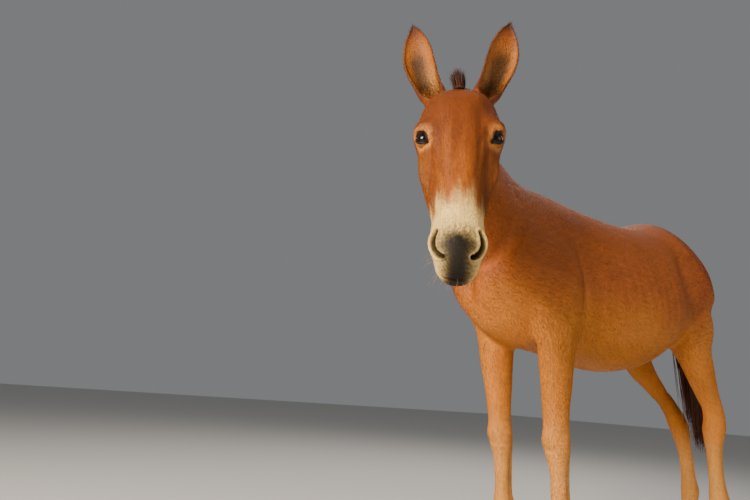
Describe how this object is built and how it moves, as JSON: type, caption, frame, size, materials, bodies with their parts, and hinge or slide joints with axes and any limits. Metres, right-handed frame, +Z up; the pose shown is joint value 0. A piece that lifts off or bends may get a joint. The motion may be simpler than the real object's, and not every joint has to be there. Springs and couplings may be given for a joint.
{
  "type": "mule",
  "caption": "Life-size standing sorrel mule with its head turned to its left, a cream muzzle, long ears and a roached mane.",
  "frame": {"origin": "on the floor under the middle of the overall box", "axes": "+Z up, -Y towards the chest, +X to the mule's own left"},
  "size_m": [0.7942, 2.1018, 1.7903],
  "materials": {
    "coat": "short glossy sorrel coat",
    "hair": "long dark red-brown hair",
    "hoof": "dull horn",
    "eye": "wet and glossy"
  },
  "bodies": {
    "root": {"torso": "coat", "neck": "coat", "head": "coat", "ear_left": "coat", "ear_right": "coat", "foreleg_left": "coat", "foreleg_right": "coat", "hindleg_left": "coat", "hindleg_right": "coat", "hoof_fore_left": "hoof", "hoof_fore_right": "hoof", "hoof_hind_left": "hoof", "hoof_hind_right": "hoof", "forelock": "hair", "tail": "hair", "eye_left": "eye", "eye_right": "eye"}
  },
  "joints": []
}
